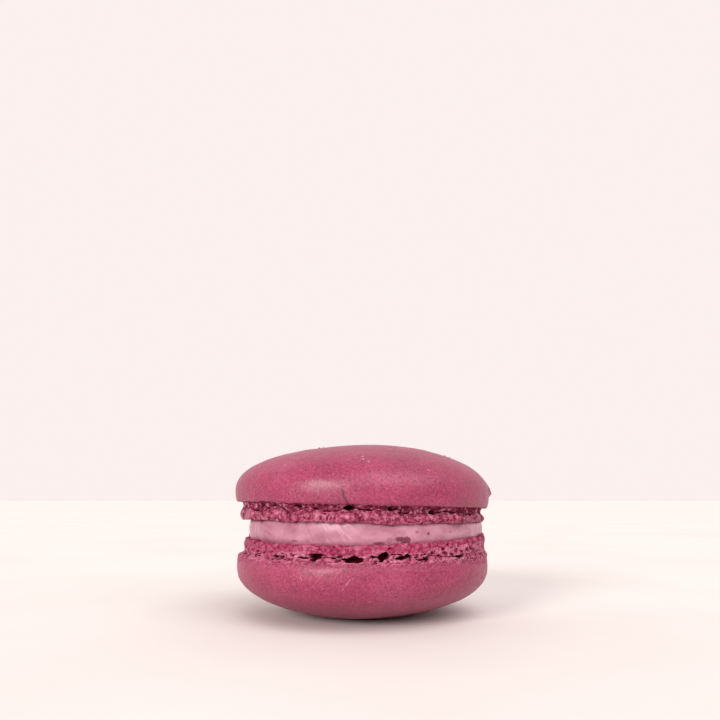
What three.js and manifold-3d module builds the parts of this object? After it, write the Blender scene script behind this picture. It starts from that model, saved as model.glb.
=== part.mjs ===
// One filled macaron, standing on the flattened crown of its lower shell.
// Two almond meringue shells face each other. Each is one baked piece: a smooth domed cap with a
// sharp rim, and below the rim the foot, a band of burst crumb with caves in it. Between the flat
// sides of the shells lies a disc of buttercream, thicker at the front left because the shells lean.
//
// Millimetres, +Z up. The origin is the middle of the flat spot that the macaron stands on.
// An azimuth is counted from the front, -Y, towards the right, +X.
import * as THREE from "three";
import { mergeVertices } from "three/addons/utils/BufferGeometryUtils.js";
import Module from "manifold-3d";

// Caps
const CAP_RADIUS = 22.9;
const CAP_HEIGHT = 10.85; // from the rim to the crown
const WIDEST_ABOVE_RIM = 1.9;
const RIM_TUCK = 0.3; // how far the rim stands in from the widest part of the cap
// The dome is the curve radius^(crown exponent) + height^SHOULDER_EXPONENT = 1, with both as shares.
const SHOULDER_EXPONENT = 2.4; // over 2: the shoulder is full
const OUTLINE_WAVES = [
  { lobes: 2, height: 0.16 },
  { lobes: 3, height: 0.12 },
  { lobes: 5, height: 0.06 },
];

// Feet
const GROOVE_INSET = 1.6; // the groove under the rim, in from the cap's radius
const FOOT_BULGE = 0.55; // how far the foot swells out between the groove and the lip
const FOOT_SHIFT = 0.2; // the feet ran out a little to the right
const LIP_INSET = 1.6; // the lip, where the side of the foot turns into the flat side
const LIP_WIDTH = 0.55;
const LIP_DROP = 0.15; // crumbs of the lip hang past the flat side by about this
const LUMP_SIZE = 2.6;
const LUMP_HEIGHT = 0.42;
const CAVE_DEPTH = 1.7; // from the mouth of a cave to its end

// Filling
const FILLING_RADIUS = 20.2;
const FILLING_SHIFT = 0.65; // the disc was squeezed out a little to the right
const FILLING_BULGE = 0.75;
const FILLING_WAVE_SIZE = 6;
const FILLING_WAVE_HEIGHT = 0.2;
const GAP = 0.1; // between the filling and the flat side of each shell

// The two shells. A height in a shell is counted from its flat side towards its crown.
// The flat side rises by tilt[0] for each millimetre to the right and by tilt[1] to the back.
// The dome falls away early from its crown if the crown's exponent is under 2, and the height by which
// it is flattened is cut off flat. The crown lies to the right by its shift, which fades out sideways.
// A cave is [azimuth in degrees, distance from the rim, width, height].
const LOWER = {
  name: "bottom_shell",
  seed: 3,
  side: -1,
  stands: true, // its cap is level, and its foot takes up the tilt
  flatSideHeight: 14.15,
  footHeight: 3.3,
  tilt: [0.016, 0.02],
  crown: { exponent: 1.9, flattened: 0.4, shift: -1.8, fade: 2 },
  caves: [
    [-40, 0.9, 1.2, 0.7],
    [-19.5, 1.15, 2.1, 1.0],
    [-3.8, 0.75, 3.2, 1.1],
    [6.9, 1.4, 1.9, 1.2],
    [17.4, 1.0, 1.9, 0.9],
    [25.8, 0.45, 1.9, 0.7],
    [42.8, 0.7, 2.9, 0.9],
    [66, 0.8, 1.5, 0.7],
  ],
};
const UPPER = {
  name: "top_shell",
  seed: 8,
  side: 1,
  stands: false, // the whole shell leans with its flat side
  flatSideHeight: 16.8,
  footHeight: 2.9,
  tilt: [-0.0275, -0.007],
  crown: { exponent: 1.7, flattened: 0.15, shift: 3.0, fade: 1 },
  nub: { azimuth: 79, aboveRim: 2.6, height: 0.8, size: 1.1 },
  caves: [
    [-37.7, 0.6, 2.0, 0.7],
    [-26, 0.85, 1.6, 0.6],
    [-5.1, 0.45, 1.5, 0.8],
    [6.5, 0.5, 1.8, 0.5],
    [18, 0.7, 1.6, 0.6],
    [31.2, 0.75, 1.3, 0.9],
    [42, 0.7, 1.9, 0.7],
  ],
};
// Round the rest of the foot the caves follow a seeded rule: [least, most] of each measure.
const BACK_CAVES = {
  count: 9,
  from: 80,
  to: 280,
  fromRim: [0.6, 1.2],
  width: [1.4, 2.8],
  height: [0.6, 1.1],
  scatter: 0.6, // of the step from one cave to the next
};

// Facets
const OUTER_FACETS = 120;
const DOME_ROWS = 10;
const RIM_ROWS = [0.6, 1]; // from the widest part of the cap, 0, to the rim, 1
const FOOT_ROWS = 5;
const FILLING_FACETS = 96;
const FILLING_ROWS = 5;
const POLE_FACETS = 5;
const POLE_RADIUS = 1.4;
const WELD = 1e-4; // points closer than this are one point

const TURN = Math.PI * 2;
const radians = THREE.MathUtils.degToRad;
const wasm = await Module();
wasm.setup();

// A repeatable number from 0 to 1 for a corner of the noise lattice.
function cornerValue(i, j, k, seed) {
  const s = Math.sin(i * 127.1 + j * 311.7 + k * 74.7 + seed * 19.19) * 43758.5453;
  return s - Math.floor(s);
}

// Smooth noise from -1 to 1: corner values of a unit lattice, eased between corners.
function noise(x, y, z, seed) {
  const cell = [x, y, z].map(Math.floor);
  const [fx, fy, fz] = [x, y, z].map((value, n) => THREE.MathUtils.smoothstep(value - cell[n], 0, 1));
  let sum = 0;
  for (const [i, wx] of [[0, 1 - fx], [1, fx]]) {
    for (const [j, wy] of [[0, 1 - fy], [1, fy]]) {
      for (const [k, wz] of [[0, 1 - fz], [1, fz]]) {
        sum += wx * wy * wz * cornerValue(cell[0] + i, cell[1] + j, cell[2] + k, seed);
      }
    }
  }
  return sum * 2 - 1;
}

// The outline of a hand-piped round: a circle with a few shallow lobes.
function outline(azimuth, seed) {
  const wave = ({ lobes, height }) => height * Math.cos(lobes * azimuth + seed * lobes);
  return OUTLINE_WAVES.reduce((sum, lobe) => sum + wave(lobe), 0);
}

// How far in from the cap's radius the foot stands, from the groove, 0, to the flat side, 1.
function footInset(share) {
  return THREE.MathUtils.lerp(GROOVE_INSET, LIP_INSET, share) - FOOT_BULGE * Math.sin(Math.PI * share);
}

// The rise of a shell's flat side above its middle.
function tiltAt(shell, x, y) {
  return shell.tilt[0] * x + shell.tilt[1] * y;
}

// Facets in proportion to the radius, with OUTER_FACETS round the widest row.
function facetsAt(radius) {
  return Math.max(POLE_FACETS, Math.round((OUTER_FACETS * radius) / CAP_RADIUS));
}

// The rows of a shell from its crown to the middle of its flat side. A row has a radius, a height and
// a number of facets, and may say how far down the foot it is (share), how strongly the lumps of the
// foot (lumps) and the drop of the lip (drop) act on it, and how far it lies to the right (shift).
function shellRows(shell) {
  const { exponent, flattened, shift, fade } = shell.crown;
  const top = shell.footHeight + CAP_HEIGHT;
  const widest = shell.footHeight + WIDEST_ABOVE_RIM;
  const rise = top - widest + flattened;
  const poleShift = shell.stands ? 0 : shift; // the origin stays in the middle of the standing pole
  const rows = [{ radius: POLE_RADIUS, height: top, facets: POLE_FACETS, shift: poleShift }];
  for (let n = 1; n <= DOME_ROWS; n++) {
    const turn = (1 - n / DOME_ROWS) * Math.PI * 0.5;
    const radius = CAP_RADIUS * Math.cos(turn) ** (2 / exponent);
    const height = Math.min(top, widest + rise * Math.sin(turn) ** (2 / SHOULDER_EXPONENT));
    const faded = shift * (1 - radius / CAP_RADIUS) ** fade;
    rows.push({ radius, height, facets: facetsAt(radius), shift: faded });
  }
  for (const share of RIM_ROWS) {
    const height = widest - WIDEST_ABOVE_RIM * share;
    rows.push({ radius: CAP_RADIUS - RIM_TUCK * share ** 2, height, facets: OUTER_FACETS });
  }
  for (let n = 0; n < FOOT_ROWS; n++) {
    const share = n / FOOT_ROWS;
    const radius = CAP_RADIUS - footInset(share);
    const height = shell.footHeight * (1 - share);
    const lumps = Math.sqrt(Math.sin(Math.PI * share));
    rows.push({ radius, height, facets: OUTER_FACETS, share, lumps, shift: FOOT_SHIFT });
  }
  const lip = CAP_RADIUS - LIP_INSET;
  const flat = { height: 0, share: 1, shift: FOOT_SHIFT };
  rows.push({ ...flat, radius: lip, facets: OUTER_FACETS, drop: 1 });
  rows.push({ ...flat, radius: lip - LIP_WIDTH, facets: OUTER_FACETS });
  rows.push({ ...flat, radius: lip / 2, facets: OUTER_FACETS / 4 });
  rows.push({ ...flat, radius: POLE_RADIUS, facets: POLE_FACETS });
  return rows;
}

// The points of one row, moved by the outline, the lumps of the foot, the nub and the tilt.
function ringPoints(row, shell) {
  const points = [];
  for (let n = 0; n < row.facets; n++) {
    const azimuth = (n / row.facets) * TURN;
    const along = [Math.sin(azimuth), -Math.cos(azimuth)];
    const at = [along[0] * row.radius, along[1] * row.radius, row.height].map((v) => v / LUMP_SIZE);
    let radius = row.radius + outline(azimuth, shell.seed) * (row.radius / CAP_RADIUS) ** 4;
    radius += (row.lumps ?? 0) * LUMP_HEIGHT * noise(...at, shell.seed);
    radius += shell.nub ? nubHeight(azimuth, row.height - shell.footHeight, shell.nub) : 0;
    const x = along[0] * radius + (row.shift ?? 0);
    const y = along[1] * radius;
    const drop = (row.drop ?? 0) * LIP_DROP * (1 + noise(...at, shell.seed + 1));
    const tilt = shell.stands ? tiltAt(shell, x, y) * (row.share ?? 0) : 0;
    points.push([x, y, shell.side * (row.height - drop) + tilt]);
  }
  return points;
}

// A small peak on the side of the cap, where the batter caught on the baking sheet.
function nubHeight(azimuth, aboveRim, nub) {
  const across = ((azimuth - radians(nub.azimuth)) * CAP_RADIUS) / nub.size;
  const up = (aboveRim - nub.aboveRim) / nub.size;
  return nub.height * Math.exp(-(across ** 2) - up ** 2);
}

// Joins two rings of points, whatever their counts, by walking round both in step.
function stitch(outer, inner) {
  const triangles = [];
  let i = 0;
  let j = 0;
  while (i < outer.length || j < inner.length) {
    const a = outer[i % outer.length];
    const b = inner[j % inner.length];
    if ((i + 1) / outer.length <= (j + 1) / inner.length) {
      i++;
      triangles.push([a, b, outer[i % outer.length]]);
    } else {
      j++;
      triangles.push([a, b, inner[j % inner.length]]);
    }
  }
  return triangles;
}

// A closed skin over rings that run from the upper pole to the lower one. Each pole is a fan.
function skin(rings) {
  let start = 0;
  const numbered = rings.map((ring) => {
    const numbers = ring.map((_, n) => start + n);
    start += ring.length;
    return numbers;
  });
  const indices = numbered.slice(1).flatMap((ring, n) => stitch(numbered[n], ring).flat());
  const first = numbered[0];
  const last = numbered[numbered.length - 1];
  for (let n = 1; n < POLE_FACETS - 1; n++) {
    indices.push(first[0], first[n], first[n + 1]);
    indices.push(last[0], last[n + 1], last[n]);
  }
  const geometry = new THREE.BufferGeometry();
  geometry.setAttribute("position", new THREE.Float32BufferAttribute(rings.flat(2), 3));
  geometry.setIndex(indices);
  return geometry;
}

// The same skin with each face turned round, for a shell that was built crown down.
function turnedRound(geometry) {
  const index = geometry.getIndex();
  for (let n = 0; n < index.count; n += 3) {
    const second = index.getX(n + 1);
    index.setX(n + 1, index.getX(n + 2));
    index.setX(n + 2, second);
  }
  return geometry;
}

function solidOf(geometry) {
  const bare = new THREE.BufferGeometry();
  bare.setAttribute("position", geometry.getAttribute("position"));
  bare.setIndex(geometry.getIndex());
  const merged = mergeVertices(bare, WELD);
  const vertProperties = merged.getAttribute("position").array;
  const triVerts = new Uint32Array(merged.getIndex().array);
  return new wasm.Manifold(new wasm.Mesh({ numProp: 3, vertProperties, triVerts }));
}

function geometryOf(solid) {
  const mesh = solid.getMesh();
  const geometry = new THREE.BufferGeometry();
  geometry.setAttribute("position", new THREE.BufferAttribute(mesh.vertProperties, 3));
  geometry.setIndex(new THREE.BufferAttribute(mesh.triVerts, 1));
  return geometry;
}

// The listed caves, and more of them spread round the rest of the foot by the seeded rule.
function allCaves(shell) {
  const { count, from, to, scatter } = BACK_CAVES;
  const step = (to - from) / (count - 1);
  const caves = [...shell.caves];
  for (let n = 0; n < count; n++) {
    const azimuth = from + step * (n + scatter * (cornerValue(n, 0, 0, shell.seed) - 0.5));
    const measures = ["fromRim", "width", "height"].map((measure, k) =>
      THREE.MathUtils.lerp(...BACK_CAVES[measure], cornerValue(n, k + 1, 0, shell.seed)),
    );
    caves.push([azimuth, ...measures]);
  }
  return caves;
}

// A cave: a lens-shaped hole that burst through the side of the foot, just past the rim.
function caveHole(cave, shell) {
  const [azimuth, fromRim, width, height] = cave;
  const turn = radians(azimuth);
  const share = fromRim / shell.footHeight;
  const mouth = CAP_RADIUS - footInset(share) + outline(turn, shell.seed);
  const x = Math.sin(turn) * mouth + FOOT_SHIFT;
  const y = -Math.cos(turn) * mouth;
  const tilt = shell.stands ? tiltAt(shell, x, y) * share : 0;
  const hole = new THREE.IcosahedronGeometry(1, 1);
  hole.scale(width / 2, CAVE_DEPTH, height / 2);
  hole.rotateZ(turn);
  hole.translate(x, y, shell.side * (shell.footHeight - fromRim) + tilt);
  return solidOf(hole);
}

function shellMesh(shell, material) {
  const built = skin(shellRows(shell).map((row) => ringPoints(row, shell)));
  let solid = solidOf(shell.side > 0 ? built : turnedRound(built));
  for (const cave of allCaves(shell)) solid = solid.subtract(caveHole(cave, shell));
  const mesh = new THREE.Mesh(geometryOf(solid), material);
  mesh.name = shell.name;
  mesh.position.z = shell.flatSideHeight;
  if (!shell.stands) mesh.rotation.set(Math.atan(shell.tilt[1]), -Math.atan(shell.tilt[0]), 0);
  return mesh;
}

// One ring of the filling: share runs from the lower shell, 0, to the upper one, 1, and reach from
// the middle of the disc, 0, to its wall, 1. The wall swells half-way up and waves a little.
function fillingRing(share, reach, facets) {
  const points = [];
  for (let n = 0; n < facets; n++) {
    const azimuth = (n / facets) * TURN;
    const along = [Math.sin(azimuth), -Math.cos(azimuth)];
    const at = along.map((v) => (v * FILLING_RADIUS) / FILLING_WAVE_SIZE);
    const wave = FILLING_WAVE_HEIGHT * noise(...at, share, LOWER.seed);
    const radius = reach * (FILLING_RADIUS + FILLING_BULGE * Math.sin(Math.PI * share) + wave);
    const x = along[0] * radius + FILLING_SHIFT * reach;
    const y = along[1] * radius;
    const low = LOWER.flatSideHeight + tiltAt(LOWER, x, y) + GAP;
    const high = UPPER.flatSideHeight + tiltAt(UPPER, x, y) - GAP;
    points.push([x, y, THREE.MathUtils.lerp(low, high, share)]);
  }
  return points;
}

function fillingMesh(material) {
  const pole = POLE_RADIUS / FILLING_RADIUS;
  const rings = [fillingRing(1, pole, POLE_FACETS), fillingRing(1, 0.5, FILLING_FACETS / 4)];
  for (let n = FILLING_ROWS; n >= 0; n--) rings.push(fillingRing(n / FILLING_ROWS, 1, FILLING_FACETS));
  rings.push(fillingRing(0, 0.5, FILLING_FACETS / 4), fillingRing(0, pole, POLE_FACETS));
  const mesh = new THREE.Mesh(geometryOf(solidOf(skin(rings))), material);
  mesh.name = "filling";
  return mesh;
}

const meringue = new THREE.MeshStandardMaterial({ color: "#bd4a70", roughness: 0.72, metalness: 0 });
const buttercream = new THREE.MeshStandardMaterial({ color: "#dd98ab", roughness: 0.45, metalness: 0 });

const macaron = new THREE.Group();
macaron.add(shellMesh(LOWER, meringue));
macaron.add(fillingMesh(buttercream));
macaron.add(shellMesh(UPPER, meringue));

export default macaron;
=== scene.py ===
"""One filled macaron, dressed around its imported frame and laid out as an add-on.

Two baked almond meringue shells face each other round a disc of buttercream. Each shell is a smooth
domed cap and, below its rim, a foot of burst crumb. Every piece is a closed surface of rings from one
pole to the other, worked out with numpy, and its colours follow attributes that the shape leaves on it.
Lengths are metres. An azimuth is counted from the front, -Y, towards the right, +X.
"""

import itertools
import math

import bpy
import numpy as np
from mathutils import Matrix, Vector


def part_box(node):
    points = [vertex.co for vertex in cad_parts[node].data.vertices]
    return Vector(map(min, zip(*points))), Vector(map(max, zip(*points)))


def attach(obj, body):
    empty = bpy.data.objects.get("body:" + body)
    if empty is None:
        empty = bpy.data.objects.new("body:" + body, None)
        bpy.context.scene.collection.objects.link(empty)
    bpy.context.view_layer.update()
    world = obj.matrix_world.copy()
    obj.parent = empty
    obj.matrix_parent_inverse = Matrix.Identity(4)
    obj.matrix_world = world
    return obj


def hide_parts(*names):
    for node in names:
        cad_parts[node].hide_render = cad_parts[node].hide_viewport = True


bl_info = {
    "name": "Filled Macaron",
    "version": (1, 0, 0),
    "blender": (4, 5, 0),
    "location": "3D View > Sidebar > Macaron",
    "description": "Adds the caps, feet, filling and studio of one filled macaron",
    "category": "Add Mesh",
}

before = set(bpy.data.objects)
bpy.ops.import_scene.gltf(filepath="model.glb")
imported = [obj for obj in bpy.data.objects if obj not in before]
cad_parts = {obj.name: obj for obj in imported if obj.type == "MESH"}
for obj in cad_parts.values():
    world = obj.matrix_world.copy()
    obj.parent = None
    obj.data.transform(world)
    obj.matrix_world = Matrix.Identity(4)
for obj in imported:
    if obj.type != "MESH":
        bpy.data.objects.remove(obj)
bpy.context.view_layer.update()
BASE_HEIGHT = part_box("bottom_shell")[0].z

MM = 0.001
TURN = 2 * math.pi

# Relief of the caps. A wave is the size of its noise, and its height or its share of what it bends
OUTLINE_WAVES = ((2, 0.16 * MM), (3, 0.12 * MM), (5, 0.06 * MM))  # lobes and height
SWELL = (7.0 * MM, 0.11 * MM)
DIMPLE = (1.9 * MM, 0.035 * MM)
GRAIN = (0.75 * MM, 0.02 * MM)
CROWN_FADE = 1.0 * MM  # the relief ends on the crown over this height
WANDER_FADE = {"cap": 2.2 * MM, "foot": 1.2 * MM}  # the rim's wander ends this far up and down
CRUST_WAVE = (1.4 * MM, 0.5)
CRUST_RELIEF = 0.5  # of the crumb's relief stands on the cap by its rim
RIM_WAVES = ((2.6 * MM, 0.6), (0.9 * MM, 0.4))
PIMPLE_SPACING = 2.6 * MM
PIMPLE_REACH = 0.096  # least radius of a pimple, as a share of their spacing; the most is twice that
PIMPLE_HEIGHT = 0.07 * MM
PIMPLE_SHARE = 0.3  # of the places for a pimple have one
RIM_EDGE = 0.2 * MM  # radius of the rim's edge
FLAT_BLEND = 0.03 * MM  # how softly the flat of a crown turns into its dome
LEDGE = 2 * MM  # width of the level ledge behind the rim, which the foot hides
NUB = {
    "azimuth": 84,
    "above": 2.5 * MM,
    "height": 0.6 * MM,
    "wide": 2.2 * MM,
    "up": 3.0 * MM,
    "down": 0.7 * MM,
}
# A hair crack that is only painted shade: a dark line on the upper cap, with no cut in its surface
HAIR_CRACK = {
    "azimuth": -6.0,
    "slant": 0.42,  # how far it leans for each length that it climbs
    "wave": 0.09 * MM,
    "bend": 0.25 * MM,  # climb for each radian of its sine
    "fade": 1.89 * MM,  # it fades from here to its top
    "top": 2.7 * MM,
    "width": 0.13 * MM,
}

# Relief of the feet
LUMP = (2.6 * MM, 0.45 * MM)
# A pattern of the crumb has its start value in a crease, at a dot or on a wall, and changes from there by
# its slope. Height is what a value of 1 gives, and ridge is its share in how high on a ridge a point is
KNOB = {"size": 1.05 * MM, "height": 0.18 * MM, "start": -0.6, "slope": 2.0, "ridge": 0.3}
CRUMB = {"size": 0.52 * MM, "height": 0.19 * MM, "start": 0.4, "slope": -1.7, "ridge": 0.5}
GRIT = {"size": 0.26 * MM, "height": 0.05 * MM, "start": 0.4, "slope": -1.5, "ridge": 0.25}
STRING = {"size": 0.55 * MM, "height": 0.22 * MM, "start": 0.6, "slope": -2.6, "ridge": 0.6}
STRING_FLOOR = -0.9  # least value between the walls of torn crumb
UNEVEN = {"height": 0.9, "seam": 0.2}  # how much the crumbs differ, and how wide a seam between two is
CRUMB_BEND = 0.22  # of the size of a knob
RIDGE_MIDDLE = 0.5
TEAR_SIZE = 3.4 * MM
TEAR_EDGE = 0.3  # value of its noise, below and above 0, over which whole crumb turns into torn
PORE_SPACING = 1.15 * MM
PORE_DEPTH = 0.42 * MM
PORE_BEND = (0.5 * MM, 0.25)  # bends in the outline of a pore
PORE_RADIUS = (0.12, 0.22)  # the least, and what the dot's chance adds, as shares of the spacing
PORE_SHARE = 0.3  # of the places for a pore have one where the crumb is torn most
CAVE_DEPTH = 1.6 * MM
CAVE_WARP = ((0.9 * MM, 0.26), (0.35 * MM, 0.13))  # bends in the outline of a cave
CAVE_FRILL = {"middle": -0.14, "reach": 0.12, "strength": 1.0}  # raised edge, by how far outside a cave
PIT_FRILL = {"middle": -0.25, "reach": 0.25, "strength": 0.7}
FRILL_HEIGHT = 0.07 * MM
CRACK_DEPTH = 0.5 * MM
FULL_DEPTH = {"cave": 0.22, "pit": 0.7, "crack": 0.6}  # value of its field at which each is fully deep
SHADE = {"frill": 0.4, "crack": 0.9, "holes": 0.6}  # how much each adds a painted highlight to a ridge or painted shade to a hollow
NECK_RIDGE = (0.85, 0.4)  # the painted shadow under the upper rim leaves out ridges higher than the first
CALM = {"band": 0.3, "over": 0.6}  # how much lower the crumb is along the lip and over the rim
SHIFT_ZONE = (-0.1 * MM, 0.3 * MM)  # distances from the rim between which the foot's shift sets in
LIP_EDGE = 0.28 * MM
LIP_WAVES = ((2.3 * MM, 0.35), (0.75 * MM, 0.5))
LIP_MIDDLE = 0.35  # of its hang, before the waves are added
BAND_WAVE = (4 * MM, 0.5)
CRACK_WAVE = (0.6 * MM, 0.07 * MM)
CRACK_OPENING = ((1.4 * MM, 1.2), (0.5 * MM, 1.0))
CRACK_MIDDLE = 0.6  # of its width, before the waves are added
CRACK_LIMITS = (0.05, 2)  # least and most, of its width
EDGE_FADE = 0.25 * MM  # half of the strip in which the smooth band and the crumb over the rim begin
FOOT_ROOT = 1.5 * MM  # how far the foot reaches up inside the cap
ROOT_INSET = {"top": 1.0 * MM, "bottom": 0.6 * MM}  # how far in from the groove it does so
SIDE_START = {True: 0.09, False: -0.06}  # share of the foot's height, for a creeping and a plain rim
CREEP_EDGE = 0.1 * MM  # radius of the crumb where it turns over the rim
GROOVE_EASE = 0.3 * MM  # how far out of the groove such crumb turns down
GROOVE_ZONE = (0.22, 0.06)  # shares of the foot's height between which it comes out so far
NECK_FADE = 0.1 * MM  # half of the strip in which the painted shadow under the upper rim ends
HAIR = 0.01 * MM  # keeps a strip from having no width
FLAT_ZONE = (1.5 * MM, 1.1 * MM)  # distances in from the lip between which the flat side gets its relief
HANG_ZONE = (1.4 * MM, 0.9 * MM)  # and between which the lip starts to hang
ROUGH_SIDE = {"azimuth": 47, "reach": 22, "depth": 1.0 * MM}  # where the lip's smooth band is torn too

# Grids
CAP_STEPS = 720
CAP_SPACING = 0.27 * MM
RIM_SPACING = 0.1 * MM
FOOT_STEPS = 1080
FOOT_SPACING = 0.088 * MM
FILLING_STEPS = 900
FILLING_SPACING = 0.09 * MM
HIDDEN_SPACING = 2.5 * MM
RIM_ZONE = (3.2 * MM, 1.6 * MM)  # heights over the rim between which a cap's rings draw closer
POINTS = {"dome": 600, "tuck": 60, "rim": 12, "creep": 30, "side": 200, "lip": 40}  # on each stretch

# Caves and pits: azimuth in degrees; distance from the rim, width and height in millimetres
LOWER_CAVES = (
    (-40, 0.9, 1.4, 0.7), (-25.5, 0.95, 2.0, 0.5), (-20.5, 1.2, 1.8, 1.35), (-20, 1.6, 2.3, 0.55),
    (-12.3, 0.95, 0.8, 0.35), (-10.4, 1.25, 1.1, 0.35), (-8.6, 0.9, 1.0, 0.4),
    (-3.9, 0.72, 3.2, 1.4), (3.4, 1.25, 1.4, 0.5), (7.5, 1.3, 2.1, 1.5), (6.2, 0.5, 1.0, 0.4),
    (12.6, 1.65, 1.8, 0.25), (14.9, 0.95, 2.0, 0.7), (17.4, 1.3, 1.3, 0.7), (22.0, 0.5, 2.0, 0.3),
    (24.8, 0.65, 1.2, 0.8), (42.5, 0.7, 3.0, 0.6), (45.0, 0.95, 0.9, 0.6), (67.5, 0.8, 1.6, 0.6),
)
LOWER_PITS = (
    (-59, 1.6, 1.5, 0.5), (-53, 1.5, 1.2, 0.6), (-48, 1.3, 0.8, 0.6), (-36, 1.6, 0.7, 0.7),
    (-30.5, 1.3, 0.9, 0.4), (9.8, 2.7, 0.45, 0.4), (24.3, 1.5, 0.5, 0.5), (28.7, 1.55, 0.6, 0.5),
    (31.5, 1.2, 0.5, 0.45), (33.7, 2.15, 0.6, 0.55), (36.5, 2.75, 0.7, 0.6),
    (37.2, 1.35, 0.6, 0.5), (38.9, 2.3, 0.55, 0.5), (52, 1.6, 0.8, 0.5),
)
UPPER_CAVES = (
    (-41, 0.55, 1.1, 0.4), (-36.5, 1.15, 0.8, 0.7), (-29, 0.55, 1.5, 0.3), (-20.5, 0.8, 1.1, 0.3),
    (-5.8, 0.6, 2.0, 0.65), (0.7, 0.8, 2.8, 0.4), (11, 0.6, 0.7, 0.7), (17.3, 1.0, 2.5, 0.3),
    (22, 1.5, 0.8, 0.25), (30.2, 1.0, 1.4, 0.8), (42, 0.9, 1.5, 0.5),
)
UPPER_PITS = (
    (-46, 1.0, 1.4, 0.5), (-33.5, 1.5, 0.6, 0.6), (38, 1.1, 0.8, 0.4), (52, 1.2, 0.9, 0.5),
    (57, 0.8, 0.7, 0.4),
)

# More caves, spread round the back: from and to are azimuths, scatter is a share of a step between two, and
# the power of a chance from 0 to 1 makes most of them small
BACK_CAVES = {
    "count": 14,
    "from": 78,
    "to": 288,
    "from_rim": (0.6 * MM, 1.3 * MM),
    "width": (1.0 * MM, 3.6 * MM),
    "height": (0.4 * MM, 1.5 * MM),
    "scatter": 0.9,
    "power": 1.8,
}

# The crack under the rim: azimuth in degrees and distance from the rim in millimetres
CRACK_LINE = (
    (-45, 0.55), (-39, 0.6), (-35.6, 1.0), (-33.5, 1.5), (-30, 1.2), (-25, 0.65), (-19.8, 0.7),
    (-18.4, 1.1), (-12.3, 1.05), (-8, 0.65), (-3.4, 0.65), (1.2, 1.0), (7, 0.8), (15.4, 0.65),
    (17, 1.15), (22.5, 0.95), (27, 1.2), (38, 0.75), (44, 0.8), (53, 1.1),
)
CRACK_STEP = 4  # degrees between the points that the seeded rule adds round the back
CRACK_WANDER = (0.5 * MM, 1.3 * MM)  # their distances from the rim

# Bits on the caps: azimuth in degrees; height over the rim, length and thickness in millimetres; slant
# in degrees
UPPER_SLIVERS = (
    (-2.6, 7.6, 0.6, 0.3, 60), (-2.0, 7.1, 0.5, 0.3, 20), (1.2, 6.7, 0.6, 0.2, -50),
    (28, 5.6, 0.6, 0.2, -35), (-39, 6.0, 0.6, 0.2, 40),
)
LOWER_SLIVERS = (
    (-24, 2.1, 1.2, 0.09, -67), (-5.7, 2.7, 1.45, 0.12, 54), (-15.6, 3.8, 0.22, 0.16, 60),
    (-7.7, 3.85, 0.24, 0.18, 60), (3, 5.65, 0.28, 0.2, 0),
)
UPPER_CRUMBS = (
    (-62.5, 9.84, 0.5, 0.42, 0), (-57, 9.9, 0.36, 0.34, 20), (60, 10.3, 0.42, 0.32, 0),
    (65.6, 8.94, 0.6, 0.4, 10), (68.5, 8.7, 0.34, 0.34, 0), (-20, 0.25, 0.45, 0.3, 20),
)
LOWER_CRUMBS = ((34, 0.45, 0.3, 0.26, 0), (-31, 0.9, 0.3, 0.2, 30))

# More bits, spread round the back of each cap: the powers of a chance make most of them short
BACK_BITS = {
    "count": 26,
    "from": 62,
    "to": 300,
    "above": (1.0 * MM, 9.0 * MM),
    "length": (0.25 * MM, 1.0 * MM),
    "thickness": (0.1 * MM, 0.22 * MM),
    "slant": (-90, 90),
    "powers": {"above": 1, "length": 2, "thickness": 1, "slant": 1},
}
BIT_RINGS = 9
BIT_STEPS = 10

# The buttercream: azimuths, reaches and slants are in degrees
FOLD = {"azimuth": -66, "reach": 2.2}
STROKES = {
    "azimuth": -14,
    "reach": 10,
    "slant": -50,
    "long": 2.0 * MM,
    "apart": 0.24 * MM,
    "elsewhere": 0.3,  # strength in patches round the rest of the wall
    "patches": (0.2, 0.6),  # value of slow noise at which such a patch begins and is full
    "fade": 1.2 * MM,  # they end this high over the lower shell
}
MARK_RELIEF = 0.07 * MM
MARK_GRAIN = 0.35 * MM
MARK_EDGE = ((0.7 * MM, 0.5), (0.3 * MM, 0.35))  # bends in the outline of a mark
MARK_FADE = 0.2  # half of the strip in which a mark ends, in the value of its ellipse
FILLING_HEIGHT = 3 * MM  # of the wall, before it is fitted between the shells
STREAK_WAVE = (4 * MM, 0.9 * MM)
STREAK_SIZE = (2.6 * MM, 2.6 * MM, 0.45 * MM)  # along X, Y and Z
PATCH_SIZE = 6 * MM  # of the places where the knife left strokes

# Crumbs and smears on the buttercream: azimuth in degrees; height over the floor, width and height in
# millimetres; strength
CREAM_MARKS = (
    (15.4, 14.5, 2.3, 1.0, 1.0), (17.6, 14.3, 1.0, 0.9, 0.9), (5.4, 13.95, 1.7, 0.5, 0.8),
    (9.3, 14.35, 1.1, 0.9, 0.3), (21.7, 15.6, 0.5, 0.4, 0.5), (27.2, 15.3, 0.42, 0.42, 1.0),
    (39.6, 15.4, 0.5, 0.35, 0.35), (-33.0, 14.1, 1.4, 0.3, 0.6), (118.0, 15.2, 0.6, 0.4, 0.8),
    (171.0, 15.7, 1.6, 0.6, 0.7), (232.0, 14.6, 1.1, 0.7, 0.8),
)

# The stage: the camera was solved from a frame of this size
FRAME_PIXELS = 720
FOCAL_PIXELS = 663
HORIZON_PIXEL = 500
SHIFT = 0.15
FLOOR_SIZE = 30.0
SENSOR_WIDTH = 36  # millimetres
NEAREST = 5 * MM  # the camera sees nothing nearer
OPEN_SKY = 0.6  # sine of the elevation up to which the surroundings stay at full brightness
BEHIND_EDGE = (-0.4, -0.1)  # where they darken behind the camera, as the Y of a unit direction

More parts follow.
